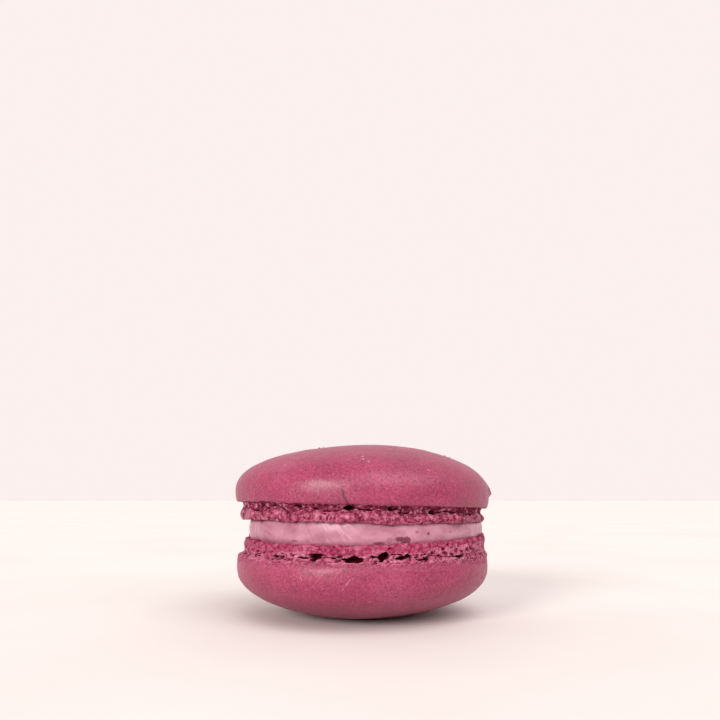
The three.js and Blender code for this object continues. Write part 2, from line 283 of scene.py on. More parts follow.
# Inputs of a node that maps one range to another, and the constants of the two foods' shaders
LIMITS = ("From Min", "From Max", "To Min", "To Max")
MERINGUE = {
    "IOR": 1.45,
    "Subsurface Weight": 0.1,
    "Subsurface Radius": (1.0, 0.35, 0.4),
    "Subsurface Scale": 0.4 * MM,
}
BUTTERCREAM = {
    "Roughness": 0.36,
    "Specular IOR Level": 0.35,
    "Subsurface Weight": 0.4,
    "Subsurface Radius": (1.0, 0.5, 0.5),
    "Subsurface Scale": 0.8 * MM,
}

# Azimuth and elevation in degrees, and tint
LIGHTS = (
    ("window", -35, 19, (1.0, 0.96, 0.91)),
    ("reflector", 31, 46, (1.0, 0.97, 0.95)),
)


def length(name, description, default):
    """A length property: Blender shows it in the scene's unit."""
    return bpy.props.FloatProperty(
        name=name, description=description, default=default, unit="LENGTH", subtype="DISTANCE", precision=5
    )


def lengths(name, description, default):
    """Two lengths, along X and against Y."""
    return bpy.props.FloatVectorProperty(
        name=name, description=description, default=default, size=2, unit="LENGTH", subtype="XYZ",
        precision=5
    )


def number(name, description, default):
    """A number without a unit."""
    return bpy.props.FloatProperty(name=name, description=description, default=default)


def pair(name, description, default):
    """Two numbers without a unit."""
    return bpy.props.FloatVectorProperty(name=name, description=description, default=default, size=2)


def linear(code):
    """The linear colour, with alpha 1, of an sRGB hex code such as #c04c74."""
    shares = [int(code[n : n + 2], 16) / 255 for n in (1, 3, 5)]
    return (*[s / 12.92 if s <= 0.04045 else ((s + 0.055) / 1.055) ** 2.4 for s in shares], 1.0)


def colour(name, description, code):
    """A colour property whose default is an sRGB hex code."""
    return bpy.props.FloatVectorProperty(
        name=name, description=description, default=linear(code), size=4, min=0, max=1, subtype="COLOR"
    )


# What each shell has a value of its own for: the lower shell's, then the upper shell's
SHELL_SIZES = {
    "cap_radius": (length, "Cap radius", "Radius of the cap at its widest", 22.8 * MM, 22.9 * MM),
    "foot_height": (length, "Foot height", "From the flat side to the rim", 3.2 * MM, 2.7 * MM),
    "groove": (length, "Groove", "How far the foot stands in under the rim", 0.85 * MM, 1.15 * MM),
    "lip": (length, "Lip", "How far the lip stands in from the cap's radius", 1.05 * MM, 1.35 * MM),
    "foot_bulge": (length, "Foot bulge", "How far it swells out half-way up", 0.12 * MM, 0),
    "foot_wave": (length, "Foot wave", "How far it swings in above and out below", 0.05 * MM, 0.3 * MM),
    "foot_shift": (length, "Foot shift", "How far the foot ran out to the right", 0.42 * MM, 0.1 * MM),
    "lip_hang": (length, "Lip hang", "How far the lip hangs over the cream at most", 0.4 * MM, 0.4 * MM),
    "torn": (number, "Torn", "More than 0 tears over half of the crumb", 0.1, -0.5),
    "creep": (length, "Creep", "How far the crumb creeps over the rim and up the cap", 0.8 * MM, 0),
    "ragged": (length, "Ragged rim", "How far the rim wanders up and down", 0.18 * MM, 0.08 * MM),
    "crust": (length, "Crust", "How far the cap's skin stays rough from its rim", 1.2 * MM, 0.1 * MM),
    "crack": (length, "Crack", "Width of the crack between cap and foot", 0.14 * MM, 0.16 * MM),
    "open_crack": (number, "Open crack", "More than 0 opens it over more than half of its way", -0.25, 0.1),
    "lip_band": (length, "Lip band", "Height of the smoother band along the flat side", 1.35 * MM, 0),
    "cave_share": (number, "Cave share", "Size of the back's caves, as a share of the rule's", 1.0, 0.65),
    "crown": (number, "Crown", "Exponent of the dome's radius: less is more pointed", 1.66, 1.7),
    "flattened": (length, "Flattened", "How much of the crown is pressed flat", 0.42 * MM, 0.15 * MM),
    "crown_shift": (
        lengths,
        "Crown shift",
        "How far the crown lies to the right and front",
        (-1.5 * MM, 2.6 * MM),
        (3.0 * MM, 0),
    ),
    "crown_fade": (number, "Crown fade", "Exponent with which the shift fades sideways", 2, 1),
    "tilt": (pair, "Tilt", "Rise of the flat side to the right and back", (0.016, 0.022), (0.013, 0)),
    "warp": (length, "Warp", "How far it curls up at the sides, and down in front and behind", 0.14 * MM, 0),
}


def own_sizes(shell):
    """The properties of SHELL_SIZES with the values of one shell: 0 is the lower and 1 the upper one."""
    return {key: kind(name, text, own[shell]) for key, (kind, name, text, *own) in SHELL_SIZES.items()}


class ShellSizes:
    """What both shells share. A height in a shell is counted from its flat side towards its crown."""

    cap_height: length("Cap height", "From the rim to the crown", 10.85 * MM)
    widest: length("Widest above rim", "Height of the cap's widest part above its rim", 1.9 * MM)
    rim_tuck: length("Rim tuck", "How far the rim stands in from the widest part", 0.3 * MM)
    shoulder: number("Shoulder", "Exponent of the dome's height: more is fuller", 2.4)


class LowerShellSizes(ShellSizes, bpy.types.PropertyGroup):
    """The shell that the macaron stands on: crown down and level, its foot cut at a slant."""

    __annotations__ = own_sizes(0)
    seed: bpy.props.IntProperty(name="Seed", description="Number that sets its lumps", default=3)


class UpperShellSizes(ShellSizes, bpy.types.PropertyGroup):
    """The shell on top: crown up, the whole of it leaning."""

    __annotations__ = own_sizes(1)
    flat_side: length("Flat side", "Height of the middle of its flat side", 17.0 * MM)
    lean: pair("Lean", "Rise of the whole shell to the right and back", (-0.0275, -0.007))
    seed: bpy.props.IntProperty(name="Seed", description="Number that sets its lumps", default=8)


class FillingSizes(bpy.types.PropertyGroup):
    """The disc of buttercream."""

    radius: length("Radius", "Radius of the disc where it meets the shells", 20.6 * MM)
    shift: length("Shift", "How far the disc was squeezed out to the right", 0.65 * MM)
    bulge: length("Bulge", "How far its wall swells half-way up", 0.5 * MM)
    wave_size: length("Wave size", "Length of the slow waves round its wall", 6.0 * MM)
    wave_height: length("Wave height", "Depth of the slow waves", 0.2 * MM)
    sink: length("Sink", "How far it reaches into the rough flat sides of the shells", 0.15 * MM)
    streak: length("Streak", "Height of the streaks that the knife left", 0.035 * MM)
    stroke: length("Stroke", "Height of the fine ridges between the strokes of the knife", 0.06 * MM)
    fold: length("Fold", "Depth of the fold at the left", 0.22 * MM)


class Colours(bpy.types.PropertyGroup):
    """The colours of the meringue and the buttercream."""

    skin: colour("Skin", "Baked skin", "#94244c")
    skin_pale: colour("Pale skin", "Powdery grain of the skin", "#a24166")
    skin_dark: colour("Dark skin", "Deeper grain and patches of the skin", "#70153b")
    # Real specks of almond skin, and the painted shade of the hair crack
    speck_and_painted_crack_shade: colour("Speck", "Specks of almond skin", "#4c1428")
    sliver: colour("Sliver", "Slivers of blanched almond", "#b88490")
    # Paler crumb: a real random grain, and a painted highlight where the ridge attribute is high
    ridge: colour("Ridge", "Ridges of the crumb", "#c4728e")
    crumb: colour("Crumb", "Crumb between ridge and crease", "#943855")
    # Darker crumb: a real random grain, and painted shade where the ridge attribute is low
    crease: colour("Crease", "Creases of the crumb", "#5e1c32")
    # Painted shadow of the upper rim's overhang, on the crumb between the rim and the crack
    neck: colour("Neck", "Crumb in the groove under the upper rim", "#5c1a31")
    # Painted shade: the dark colour laid inside the caves, the crack and the pores
    hollow: colour("Hollow", "Inside of the caves", "#440c13")
    cream: colour("Cream", "Buttercream", "#a06479")
    # Real paler smears, and the painted highlight along the knife's strokes
    cream_smear_and_highlight: colour("Pale cream", "Smeared, paler buttercream", "#c48fa1")
    # Painted shade: the buttercream is made darker towards its lower edge
    cream_painted_shade: colour("Dark cream", "Buttercream that has drawn colour from the lower shell", "#92566c")
    mark: colour("Mark", "Crumbs caught in the buttercream", "#6c1f3e")


class StageSettings(bpy.types.PropertyGroup):
    """The floor, the lights and the camera."""

    floor: colour("Floor", "Pale floor", "#e1dcda")
    floor_deep: colour("Floor clouds", "Deeper tone of the floor", "#d9d2cf")
    surroundings: colour("Surroundings", "Warm white round the macaron", "#fbf0ed")
    overhead: number("Overhead", "Brightness straight above, as a share of that at the horizon", 0.8)
    behind: number("Behind", "Brightness behind the camera, as a share of that ahead of it", 0.14)
    strength: pair("Strength", "Of the window and the reflector", (2.7, 2.2))
    spread: bpy.props.FloatVectorProperty(
        name="Spread", description="Angle that the window and the reflector fill", size=2,
        default=(math.radians(22), math.radians(60)), subtype="EULER", unit="ROTATION"
    )
    distance: length("Distance", "Camera to the macaron's axis", 122.8 * MM)
    height: length("Height", "Camera above the floor", 20.55 * MM)
    aside: length("Aside", "Camera to the left of the macaron's axis", 0.37 * MM)


class MacaronSettings(bpy.types.PropertyGroup):
    """Everything that a user would change."""

    lower: bpy.props.PointerProperty(type=LowerShellSizes)
    upper: bpy.props.PointerProperty(type=UpperShellSizes)
    filling: bpy.props.PointerProperty(type=FillingSizes)
    colours: bpy.props.PointerProperty(type=Colours)
    stage: bpy.props.PointerProperty(type=StageSettings)


def metres(rows):
    """A list's rows, an azimuth, one to three lengths and what else there is, with the lengths turned from
    millimetres to metres."""
    return [(row[0], *(size * MM for size in row[1:4]), *row[4:]) for row in rows]


def corner_value(i, j, k, seed):
    """A repeatable number from 0 to 1 for each lattice corner: the fraction of a large sine, whose factors
    are arbitrary. Whatever is added to a seed only gives a pattern numbers of its own."""
    s = np.sin(i * 127.1 + j * 311.7 + k * 74.7 + seed * 19.19) * 43758.5453
    return s - np.floor(s)


def noise(points, seed):
    """Smooth noise from -1 to 1: corner values of a unit lattice, eased between corners by 3t^2 - 2t^3."""
    cell = np.floor(points)
    t = points - cell
    t = t * t * (3 - 2 * t)
    total = np.zeros(points.shape[:-1])
    for corner in itertools.product((0, 1), repeat=3):
        weight = np.prod(np.where(corner, t, 1 - t), axis=-1)
        total += weight * corner_value(*np.moveaxis(cell + corner, -1, 0), seed)
    return total * 2 - 1


def wave(points, size_and_height, seed):
    """Noise of one size, times its height."""
    size, height = size_and_height
    return height * noise(points / size, seed)


def cells(points, seed):
    """Distance to the nearest of one random dot in each cell of a unit lattice, distance to the second
    nearest, and a random number from 0 to 1 that belongs to the nearest dot."""
    cell = np.floor(points)
    nearest = np.full(points.shape[:-1], np.inf)
    second = nearest.copy()
    chance = np.zeros_like(nearest)
    for offset in itertools.product((-1, 0, 1), repeat=3):
        corner = cell + offset
        lattice = np.moveaxis(corner, -1, 0)
        dot = corner + np.stack([corner_value(*lattice, seed + n) for n in (0.1, 0.2, 0.3)], axis=-1)
        distance = np.linalg.norm(dot - points, axis=-1)
        closer = distance < nearest
        second = np.where(closer, nearest, np.minimum(second, distance))
        chance = np.where(closer, corner_value(*lattice, seed + 0.4), chance)
        nearest = np.where(closer, distance, nearest)
    return nearest, second, chance


def smoothstep(low, high, value):
    """0 below low, 1 above high, and 3t^2 - 2t^3 between them; low may be the larger one."""
    t = np.clip((value - low) / (high - low), 0, 1)
    return t * t * (3 - 2 * t)


def bell(value, middle, reach):
    """A bell curve: exp(-u^2), where u is the distance from the middle as a share of the reach."""
    return np.exp(-(((value - middle) / reach) ** 2))


def past(azimuth, degrees):
    """Angle in radians, from -pi to pi, by which each azimuth is past one that is given in degrees."""
    return (azimuth - math.radians(degrees) + math.pi) % TURN - math.pi


def outward(azimuth):
    """Level unit vectors [column, xyz] that point away from the axis."""
    return np.stack([np.sin(azimuth), -np.cos(azimuth), np.zeros_like(azimuth)], axis=-1)


def outline(azimuth, seed):
    """The outline of a hand-piped round: a sum of cosines, one for each number of lobes."""
    return sum(height * np.cos(lobes * azimuth + seed * lobes) for lobes, height in OUTLINE_WAVES)


def spaced(profile, spacing):
    """The profile, [point, (radius, height)], walked so that neighbouring rings are about one local
    spacing apart: equal steps of the integral of length over spacing. Also gives each ring's outward
    normal, the path's direction turned by a quarter."""
    step = np.linalg.norm(np.diff(profile, axis=0), axis=1)
    walked = np.concatenate([[0], np.cumsum(step / ((spacing[1:] + spacing[:-1]) / 2))])
    places = np.linspace(0, walked[-1], int(walked[-1]) + 1)
    rows = np.stack([np.interp(places, walked, profile[:, n]) for n in (0, 1)], axis=1)
    along = np.gradient(rows, axis=0)
    normal = np.stack([-along[:, 1], along[:, 0]], axis=1)
    return rows, normal / np.linalg.norm(normal, axis=1, keepdims=True)


def grid(rows, steps):
    """Azimuths of the columns, and the base points [ring, column, xyz] of a turned profile."""
    azimuth = np.arange(steps) / steps * TURN
    return azimuth, outward(azimuth) * rows[:, :1, None] + rows[:, 1:, None] * [0, 0, 1]


def displaced(base, azimuth, normal, relief, sizes):
    """The base points moved out along the profile's normal by relief and, in proportion to the fourth
    power of the radius, by the waves of the outline."""
    radius = np.linalg.norm(base[..., :2], axis=-1)
    out = normal[:, :1] * relief + outline(azimuth, sizes.seed) * (radius / sizes.cap_radius) ** 4
    up = normal[:, 1:] * relief
    return base + outward(azimuth) * out[..., None] + up[..., None] * [0, 0, 1]


def closed_mesh(name, rings, attributes):
    """A closed smooth surface over rings [piece, ring, column, xyz]: in each piece a quad between
    neighbours, and a fan that joins the first and the last ring to a pole in its middle. If the volume
    inside comes out negative, the faces are turned, so that they point outwards. An attribute has a value
    for each point, and a pole takes the mean of its ring."""
    pieces, count, steps, _ = rings.shape
    poles = rings[:, [0, -1]].mean(axis=2)
    vertices = np.concatenate([rings.reshape(pieces, -1, 3), poles], axis=1)
    here = np.arange(steps)
    after = (here + 1) % steps
    start = np.arange(count - 1)[:, None] * steps
    quads = np.stack([start + here, start + after, start + steps + after, start + steps + here], axis=-1)
    last = (count - 1) * steps
    pole = np.full(steps, count * steps)
    fans = np.stack([[after, here, pole], [last + here, last + after, pole + 1]]).transpose(0, 2, 1)
    offset = np.arange(pieces)[:, None, None] * vertices.shape[1]
    quads = (quads.reshape(-1, 4) + offset).reshape(-1, 4)
    fans = (fans.reshape(-1, 3) + offset).reshape(-1, 3)
    vertices = vertices.reshape(-1, 3)
    a, b, c = np.moveaxis(vertices[np.concatenate([fans, quads[:, :3], quads[:, [0, 2, 3]]])], 1, 0)
    if np.einsum("ij,ij->", np.cross(a, b), c) < 0:
        quads, fans = quads[:, ::-1], fans[:, ::-1]
    mesh = bpy.data.meshes.new(name)
    mesh.vertices.add(len(vertices))
    mesh.vertices.foreach_set("co", vertices.astype(np.float32).ravel())
    mesh.loops.add(quads.size + fans.size)
    mesh.loops.foreach_set("vertex_index", np.concatenate([quads.ravel(), fans.ravel()]).astype(np.int32))
    mesh.polygons.add(len(quads) + len(fans))
    starts = np.concatenate([np.arange(len(quads)) * 4, quads.size + np.arange(len(fans)) * 3])
    mesh.polygons.foreach_set("loop_start", starts.astype(np.int32))
    mesh.update(calc_edges=True)
    mesh.shade_smooth()
    for key, values in attributes.items():
        values = values.reshape(pieces, count, steps)
        ends = values[:, [0, -1]].mean(axis=2)
        data = np.concatenate([values.reshape(pieces, -1), ends], axis=1)
        mesh.attributes.new(key, "FLOAT", "POINT").data.foreach_set("value", data.astype(np.float32).ravel())
    return mesh


def add_piece(name, rings, attributes, material, node):
    """Closes a mesh over the rings and puts it into the scene, as a piece that rides on the macaron and
    stands for a node."""
    mesh = closed_mesh(name, rings, attributes)
    piece = bpy.data.objects.new(name, mesh)
    bpy.context.scene.collection.objects.link(piece)
    mesh.materials.append(material)
    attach(piece, "root")
    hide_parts(node)


def lower_flat_side(sizes):
    """Height of the middle of the lower shell's flat side."""
    return BASE_HEIGHT + sizes.cap_height + sizes.foot_height


def rise(sizes, points):
    """How far the flat side of a shell rises at each point: a tilted plane, and a saddle whose height
    goes with the difference of the squares of x and y."""
    x, y = points[..., 0], points[..., 1]
    return sizes.tilt[0] * x + sizes.tilt[1] * y + sizes.warp * (x**2 - y**2) / sizes.cap_radius**2


def stand(points, sizes, share):
    """Turns the lower shell crown down on its base. Its foot takes up the rise in proportion to share,
    from 0 at the rim to 1 at the flat side."""
    placed = points.copy()
    placed[..., 2] = lower_flat_side(sizes) - points[..., 2] + rise(sizes, points) * share
    return placed


def lean(points, sizes, share):
    """Turns the upper shell about the middle of its flat side, first about Y and then about X, once its
    foot has taken up the rise in proportion to share."""
    about_x = math.atan(sizes.lean[1])
    about_y = -math.atan(sizes.lean[0])
    cx, sx, cy, sy = math.cos(about_x), math.sin(about_x), math.cos(about_y), math.sin(about_y)
    turn = np.array([[cy, 0, sy], [sx * sy, cx, -sx * cy], [-cx * sy, sx, cx * cy]])
    raised = points.copy()
    raised[..., 2] += rise(sizes, points) * share
    return raised @ turn.T + [0, 0, sizes.flat_side]


def place_shell(points, sizes, share, stands):
    """The finished points of a shell, in its place in the macaron."""
    return stand(points, sizes, share) if stands else lean(points, sizes, share)


def cap_profile(sizes):
    """From the crown to the middle of the hidden base: a dome whose radius is the cap's radius times
    cos(turn)^(2 / crown) and whose height rises by sin(turn)^(2 / shoulder), with its top pressed flat; a
    parabola that tucks in to the rim, cut short for the edge; a quarter round edge; and a ledge that ends
    inside the cap."""
    bottom = sizes.foot_height
    top = bottom + sizes.cap_height
    widest = bottom + sizes.widest
    turn = np.linspace(math.pi / 2, 0, POINTS["dome"])[1:]
    radius = sizes.cap_radius * np.cos(turn) ** (2 / sizes.crown)
    height = widest + (top - widest + sizes.flattened) * np.sin(turn) ** (2 / sizes.shoulder)
    height = top - np.logaddexp(0, (top - height) / FLAT_BLEND) * FLAT_BLEND
    share = np.linspace(0, 1, POINTS["tuck"])[1:-4]
    tuck = np.stack([sizes.cap_radius - sizes.rim_tuck * share**2, widest - sizes.widest * share], axis=1)
    rim = sizes.cap_radius - sizes.rim_tuck - RIM_EDGE
    edge = np.linspace(0, math.pi / 2, POINTS["rim"])[1:]
    rounding = [rim, bottom] + RIM_EDGE * np.stack([np.cos(edge), 1 - np.sin(edge)], axis=1)
    inner = bottom + LEDGE / 2
    ledge = [[rim - LEDGE, bottom], [rim - 1.5 * LEDGE, inner], [0, inner]]
    return np.concatenate([np.stack([radius, height], axis=1), tuck, rounding, ledge])


def cap_grid(sizes):
    """Rings of the cap, closer together by the rim."""
    profile = cap_profile(sizes)
    near = smoothstep(*RIM_ZONE, profile[:, 1] - sizes.foot_height)
    spacing = CAP_SPACING + (RIM_SPACING - CAP_SPACING) * near
    spacing[-3:] = HIDDEN_SPACING
    return spaced(profile, spacing)


def pimples(points, seed):
    """Height of scattered round bumps: a smooth dome over each dot of a lattice that has one, whose radius
    grows with the dot's chance."""
    nearest, _, chance = cells(points / PIMPLE_SPACING, seed)
    size = PIMPLE_REACH * (1 + chance / PIMPLE_SHARE)
    return PIMPLE_HEIGHT * smoothstep(size, 0, nearest) * (chance < PIMPLE_SHARE)


def pattern(rule, distance):
    """A pattern's value: that at its start, plus its slope times the distance from there."""
    return rule["start"] + rule["slope"] * distance


def crumb_relief(points, torn, seed):
    """Height of the baked crumb, and how high on its ridges each point is, from 0 to 1. Whole crumb is
    rounded knobs with sharp creases (the size of a noise), with crumbs and grit on them (domes round the
    dots of lattices, which fall with the square of the distance, and some crumbs higher than others). Torn
    crumb is thin walls round hollows: a wall stands where either of two noises passes through 0."""
    warped = points + CRUMB_BEND * KNOB["size"] * bends(points / KNOB["size"], seed)
    nearest, second, chance = cells(warped / CRUMB["size"], seed + 3)
    knobs = pattern(KNOB, np.abs(noise(warped / KNOB["size"], seed + 2)))
    seams = smoothstep(0, UNEVEN["seam"], second - nearest)
    crumbs = pattern(CRUMB, nearest**2) + UNEVEN["height"] * (chance - 0.5) * seams
    grit = pattern(GRIT, cells(warped / GRIT["size"], seed + 4)[0] ** 2)
    walls = [pattern(STRING, np.abs(noise(warped / STRING["size"], seed + n))) for n in (7, 8)]
    strings = np.maximum(np.maximum(*walls), STRING_FLOOR)
    whole = KNOB["height"] * knobs + CRUMB["height"] * crumbs
    height = whole + (STRING["height"] * strings - whole) * torn + GRIT["height"] * grit
    ridge = RIDGE_MIDDLE + KNOB["ridge"] * knobs + CRUMB["ridge"] * crumbs
    ridge = ridge + (RIDGE_MIDDLE + STRING["ridge"] * strings - ridge) * torn + GRIT["ridge"] * grit
    return height, np.clip(ridge, 0, 1)


def bends(points, seed):
    """Three noises, one for each direction, that bend a pattern out of its regular shape."""
    return np.stack([noise(points, seed + n) for n in (21, 22, 23)], axis=-1)


def pores(points, torn, seed):
    """Share of its depth that each point lies down in a small ragged hole: each hole is round the dot of
    a lattice that has one, its radius grows with the dot's chance, and torn crumb has more of them."""
    bend_size, bend = PORE_BEND
    nearest, _, chance = cells(points / PORE_SPACING + bend * bends(points / bend_size, seed + 40), seed + 5)
    least, added = PORE_RADIUS
    size = least + added * chance
    return smoothstep(size, size * 0.5, nearest) * (chance < PORE_SHARE * torn)


def rim_wander(azimuth, sizes):
    """How far the rim lies from its level line: slow and quick noise along it."""
    around = outward(azimuth) * sizes.cap_radius
    return sizes.ragged * sum(wave(around, each, sizes.seed + n) for n, each in enumerate(RIM_WAVES, 16))


def lip_hang(azimuth, share, inside, sizes):
    """How far the foot hangs out over the buttercream: slow and quick noise along it, from 0 up, all of
    it at the lip and nothing half-way up or far under the lip."""
    around = outward(azimuth) * sizes.cap_radius
    waves = sum(wave(around, each, sizes.seed + 19) for each in LIP_WAVES)
    hang = sizes.lip_hang * np.clip(LIP_MIDDLE + waves, 0, 1)
    return hang * smoothstep(0.5, 1, share) * smoothstep(*HANG_ZONE, inside)


def all_caves(listed, sizes):
    """The listed caves in metres, and more of them round the back by the seeded rule: each measure is its
    least value plus its range times a power of a chance."""
    rule = BACK_CAVES
    step = (rule["to"] - rule["from"]) / (rule["count"] - 1)
    caves = metres(listed)
    for n in range(rule["count"]):
        chances = [float(corner_value(n, k, 0, sizes.seed)) for k in range(4)]
        azimuth = rule["from"] + step * (n + rule["scatter"] * (chances[0] - 0.5))
        from_rim, width, height = (
            low + (high - low) * chance ** rule["power"]
            for (low, high), chance in zip((rule["from_rim"], rule["width"], rule["height"]), chances[1:])
        )
        caves.append((azimuth, from_rim, width * sizes.cave_share, height * sizes.cave_share))
    return caves


def cave_field(azimuth, from_rim, points, sizes, caves):
    """How deep inside a cave each point lies: 1 - |u|^1.5 - v^2 of the nearest cave, where u and v are
    the distances from its middle as shares of its half width and half height, so that its ends are
    pointed. Two sizes of noise bend u and v."""
    bend_u, bend_v = (sum(wave(points, each, sizes.seed + n) for each in CAVE_WARP) for n in (31, 32))
    field = np.full(from_rim.shape, -np.inf)
    for degrees, middle, width, height in caves:
        u = past(azimuth, degrees) * (sizes.cap_radius - sizes.groove) / (width / 2) + bend_u
        v = (from_rim - middle) / (height / 2) + bend_v
        field = np.maximum(field, 1 - np.abs(u) ** 1.5 - v**2)
    return field


def crack_field(azimuth, from_rim, sizes):
    """How far inside the wavy crack under the rim each point lies: 1 - v^2, where v is the distance from
    its middle line as a share of half its width. The line joins the listed points and, round the back,
    points by the seeded rule; noise along it sets its width. Also gives the line's distance from the rim."""
    degrees = np.arange(CRACK_LINE[-1][0] + CRACK_STEP, CRACK_LINE[0][0] + 360, CRACK_STEP)
    low, high = CRACK_WANDER
    wander = low + (high - low) * corner_value(degrees, 0, 0, sizes.seed)
    listed, depths = np.array(metres(CRACK_LINE)).T
    places, depths = np.concatenate([listed, degrees]), np.concatenate([depths, wander])
    around = outward(azimuth) * sizes.cap_radius
    middle = np.interp(np.degrees(azimuth), places, depths, period=360)
    middle = middle + wave(around, CRACK_WAVE, sizes.seed + 34)
    opening = sum(wave(around, each, sizes.seed + n) for n, each in enumerate(CRACK_OPENING, 35))
    width = sizes.crack * np.clip(sizes.open_crack + CRACK_MIDDLE + opening, *CRACK_LIMITS)
    return 1 - ((from_rim - middle) / (width / 2)) ** 2, middle


def cap_relief(azimuth, base, sizes):
    """Relief of a cap, and its colour attributes: swells, dimples, grain and pimples that fade out on
    the crown; crumb along the rim; and, on the cap that no crumb creeps over, a nub and a hair crack that
    is only painted shade, with no cut in the surface."""
    above = base[..., 2] - sizes.foot_height
    seed = sizes.seed
    relief = sum(wave(base, each, seed + n) for n, each in enumerate((SWELL, DIMPLE, GRAIN), 11))
    relief += pimples(base, seed + 14)
    relief *= smoothstep(sizes.cap_height, sizes.cap_height - CROWN_FADE, above)
    crumbly = smoothstep(sizes.crust * (1 + wave(base, CRUST_WAVE, seed + 15)), 0, above)
    crumb, ridge = crumb_relief(base, 0, seed)
    relief += crumbly * crumb * CRUST_RELIEF
    crack = np.zeros_like(above)
    if sizes.creep <= 0:
        relief += nub(azimuth, above, sizes)
        # The hair crack is painted shade only: it adds no relief
        crack = painted_hair_crack_shade(azimuth, above, sizes)
    return relief, {"crumbly": crumbly, "ridge": ridge, "crack": crack}


class MACARON_OT_add_caps(bpy.types.Operator):
    """Add the two smooth domed caps and the bits of almond and crumb that lie on them"""

    bl_idname = "macaron.add_caps"
    bl_label = "Add Caps"

    def execute(self, context):
        settings = context.scene.macaron
        skin = meringue_material(settings.colours)
        almond = almond_material(settings.colours)
        for name, stands, sizes, slivers, crumbs in (
            ("bottom", True, settings.lower, LOWER_SLIVERS, LOWER_CRUMBS),
            ("top", False, settings.upper, UPPER_SLIVERS, UPPER_CRUMBS),
        ):
            rows, normal = cap_grid(sizes)
            azimuth, base = grid(rows, CAP_STEPS)
            above = base[..., 2] - sizes.foot_height
            relief, attributes = cap_relief(azimuth, base, sizes)
            points = displaced(base, azimuth, normal, relief, sizes)
            points[..., 2] += rim_wander(azimuth, sizes) * smoothstep(WANDER_FADE["cap"], 0, above)
            points[..., :2] += shift_of_crown(base, sizes)
            placed = place_shell(points, sizes, 0, stands)
            add_piece(f"{name}_cap", placed[None], attributes, skin, f"{name}_shell")
            bits = (("slivers", almond, slivers, 1), ("crumbs", skin, crumbs, 2))
            for kind, material, listed, seed in bits:
                shapes = lying_bits(placed, rows, sizes, [*metres(listed), *back_bits(sizes.seed + seed)])
                add_piece(f"{name}_{kind}", shapes, {}, material, f"{name}_shell")
        return {"FINISHED"}


def shift_of_crown(base, sizes):
    """How far the dome leans at each point: the crown's shift times (1 - radius share)^fade, from nothing
    at the rim to all of that above the widest part."""
    share = np.linalg.norm(base[..., :2], axis=-1) / sizes.cap_radius
    inside = smoothstep(sizes.foot_height, sizes.foot_height + sizes.widest, base[..., 2])
    right, ahead = sizes.crown_shift
    return (np.clip(1 - share, 0, 1) ** sizes.crown_fade * inside)[..., None] * [right, -ahead]


def nub(azimuth, above, sizes):
    """A small peak on the side of the cap, with a long upper flank: height times (1 - distance from its
    tip)^1.2, where the distance counts in the nub's width, its reach up and its reach down."""
    across = (azimuth - math.radians(NUB["azimuth"])) * sizes.cap_radius / NUB["wide"]
    up = (above - NUB["above"]) / np.where(above > NUB["above"], NUB["up"], NUB["down"])
    return NUB["height"] * np.clip(1 - np.sqrt(across**2 + up**2), 0, 1) ** 1.2


def painted_hair_crack_shade(azimuth, above, sizes):
    """How near each point lies to the hair crack that climbs from the upper rim: a bell curve across a
    slanting line with a small sine wave. Along it the skin is darkened as painted shade; the surface is
    not cut."""
    line = -HAIR_CRACK["slant"] * above + HAIR_CRACK["wave"] * np.sin(above / HAIR_CRACK["bend"])
    across = past(azimuth, HAIR_CRACK["azimuth"]) * sizes.cap_radius
    fade = smoothstep(HAIR_CRACK["top"], HAIR_CRACK["fade"], above)
    return bell(across, line, HAIR_CRACK["width"]) * fade


def back_bits(seed):
    """Places of bits round the back of a cap, by the seeded rule: each measure is its least value plus its
    range times a power of a chance."""
    rule = BACK_BITS
    n = np.arange(rule["count"])
    places = [rule["from"] + (rule["to"] - rule["from"]) * corner_value(n, 0, 0, seed)]
    for k, (key, power) in enumerate(rule["powers"].items(), 1):
        low, high = rule[key]
        places.append(low + (high - low) * corner_value(n, k, 0, seed) ** power)
    return np.stack(places, axis=1)


def lying_bits(surface, rows, sizes, places):
    """Pointed grains [piece, ring, column, xyz] that lie on a cap, one for each place. A point is the
    middle, plus the grain's axis times length sin(v) / 2, plus its side times thickness cos(u) cos(v) / 2
    and the cap's normal times thickness sin(u) cos(v) / 3."""
    azimuth, height, long, thick, slant = np.array(places, dtype=float).T
    rim = int(rows[:, 1].argmin())
    row = np.abs(rows[1:rim, 1, None] - sizes.foot_height - height).argmin(axis=0) + 1
    steps = surface.shape[1]
    column = np.round(azimuth / 360 * steps).astype(int) % steps
    middle = surface[row, column]
    level = surface[row, (column + 1) % steps] - surface[row, column - 1]
    level /= np.linalg.norm(level, axis=1, keepdims=True)
    normal = np.cross(level, surface[row + 1, column] - surface[row - 1, column])
    normal /= np.linalg.norm(normal, axis=1, keepdims=True)
    normal *= np.sign(((middle - surface.mean(axis=(0, 1))) * normal).sum(axis=1, keepdims=True))
    turn = np.radians(slant)[:, None]
    axis = level * np.cos(turn) + np.cross(normal, level) * np.sin(turn)
    side = np.cross(normal, axis)
    v = np.linspace(-math.pi / 2, math.pi / 2, BIT_RINGS + 2)[1:-1, None, None]
    u = np.arange(BIT_STEPS)[:, None] / BIT_STEPS * TURN
    middle, axis, side, normal = (a[:, None, None] for a in (middle, axis, side, normal))
    long, thick = long[:, None, None, None], thick[:, None, None, None]
    across = side * np.cos(u) * thick / 2 + normal * np.sin(u) * thick / 3
    return middle + axis * np.sin(v) * long / 2 + across * np.cos(v)


